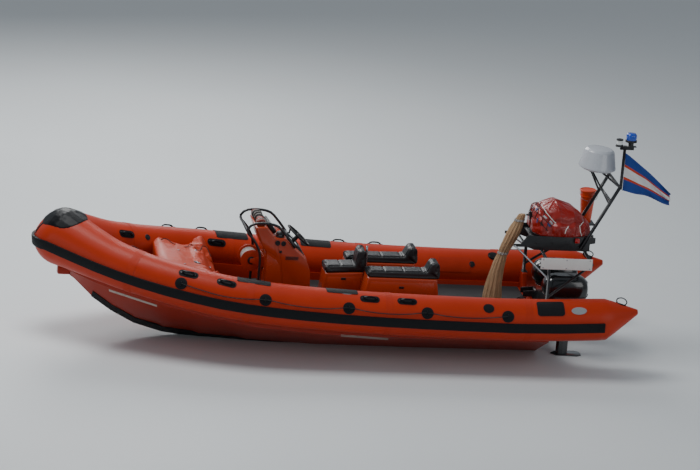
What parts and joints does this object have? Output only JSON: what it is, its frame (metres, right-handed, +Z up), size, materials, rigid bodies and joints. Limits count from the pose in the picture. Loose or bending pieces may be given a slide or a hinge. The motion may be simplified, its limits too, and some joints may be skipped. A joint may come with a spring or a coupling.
{
  "type": "inshore rescue boat",
  "caption": "Rigid inflatable inshore rescue boat with a deep V hull, console, straddle seats, stern frame and tilting outboards.",
  "frame": {"origin": "amidships on the centreline at the waterline of the running boat", "axes": "+X forward to the bow, +Y to port, +Z up"},
  "size_m": [7.8994, 2.7158, 3.2823],
  "materials": {
    "orange_hull": "satin gel coat",
    "collar": "satin coated fabric",
    "black_rubber": "matte",
    "deck_tread": "matte non-slip",
    "bag_red": "glossy coated fabric",
    "cover_orange": "coated fabric",
    "frame_black": "satin powder coat",
    "console_orange": "glossy gel coat",
    "plastic_black": "matte",
    "cushion_black": "satin vinyl",
    "steel": "brushed",
    "engine_black": "gloss",
    "rope": "woven rope",
    "canvas": "coarse canvas",
    "white_plastic": "gloss",
    "blue_lens": "clear gloss",
    "red_lens": "clear gloss",
    "green_lens": "clear gloss",
    "bucket_orange": "satin",
    "flag_cloth": "woven"
  },
  "bodies": {
    "root": {"hull": "orange_hull", "deck": "deck_tread", "transom": "orange_hull", "collar_port": "collar", "collar_starboard": "collar", "collar_bow": "collar", "bow_cap": "black_rubber", "rubbing_strake": "black_rubber", "keel_guard": "black_rubber", "lifeline_port": "black_rubber", "lifeline_starboard": "black_rubber", "bow_cover": "cover_orange", "console": "console_orange", "console_rail": "frame_black", "instrument_hood": "plastic_black", "rolled_cover": "cover_orange", "steering_column": "plastic_black", "throttle_box": "plastic_black", "reel_bracket": "steel", "helm_pod": "console_orange", "helm_cushion": "cushion_black", "crew_pod_port": "console_orange", "crew_pod_starboard": "console_orange", "crew_cushion_port": "cushion_black", "crew_cushion_starboard": "cushion_black", "grab_bar": "steel", "gantry": "frame_black", "bag_tray": "frame_black", "righting_bag": "bag_red", "strut_port": "steel", "strut_starboard": "steel", "sign_plate": "white_plastic", "port_light": "red_lens", "starboard_light": "green_lens", "stern_roller": "frame_black", "drogue": "canvas", "canister": "bucket_orange", "mast": "frame_black", "radome": "white_plastic", "blue_light": "blue_lens", "masthead_light": "plastic_black", "flag": "flag_cloth", "clamp_bracket_port": "engine_black", "clamp_bracket_starboard": "engine_black"},
    "steering_wheel": {"steering_wheel": "plastic_black"},
    "reel": {"reel_drum": "console_orange", "reel_line": "rope"},
    "tilt_port": {"swivel_bracket_port": "engine_black"},
    "engine_port": {"outboard_leg_port": "engine_black", "cowl_port": "engine_black"},
    "propeller_port": {"propeller_port": "steel"},
    "tilt_starboard": {"swivel_bracket_starboard": "engine_black"},
    "engine_starboard": {"outboard_leg_starboard": "engine_black", "cowl_starboard": "engine_black"},
    "propeller_starboard": {"propeller_starboard": "steel"}
  },
  "joints": [
    {"name": "steering_wheel_turn", "type": "hinge", "parent": "root", "child": "steering_wheel", "pos_m": [0.4237, 0, 1.3287], "axis": [-0.6483, 0, 0.7614], "range_deg": [-720, 720]},
    {"name": "reel_spin", "type": "hinge", "parent": "root", "child": "reel", "pos_m": [1.01, 0, 1.02], "axis": [0, 1, 0], "continuous": true},
    {"name": "tilt_port", "type": "hinge", "parent": "root", "child": "tilt_port", "pos_m": [-2.7, 0.33, 0.62], "axis": [0, 1, 0], "range_deg": [0, 65]},
    {"name": "steer_port", "type": "hinge", "parent": "tilt_port", "child": "engine_port", "pos_m": [-2.81, 0.33, 0.62], "axis": [0, 0, 1], "range_deg": [-30, 30]},
    {"name": "propeller_port_spin", "type": "hinge", "parent": "engine_port", "child": "propeller_port", "pos_m": [-3.05, 0.33, -0.2], "axis": [1, 0, 0], "continuous": true},
    {"name": "tilt_starboard", "type": "hinge", "parent": "root", "child": "tilt_starboard", "pos_m": [-2.7, -0.33, 0.62], "axis": [0, 1, 0], "range_deg": [0, 65]},
    {"name": "steer_starboard", "type": "hinge", "parent": "tilt_starboard", "child": "engine_starboard", "pos_m": [-2.81, -0.33, 0.62], "axis": [0, 0, 1], "range_deg": [-30, 30]},
    {"name": "propeller_starboard_spin", "type": "hinge", "parent": "engine_starboard", "child": "propeller_starboard", "pos_m": [-3.05, -0.33, -0.2], "axis": [1, 0, 0], "continuous": true}
  ],
  "couplings": [
    {"joint": "steer_port", "follows": "steering_wheel_turn", "ratio": -0.041667},
    {"joint": "steer_starboard", "follows": "steering_wheel_turn", "ratio": -0.041667}
  ]
}
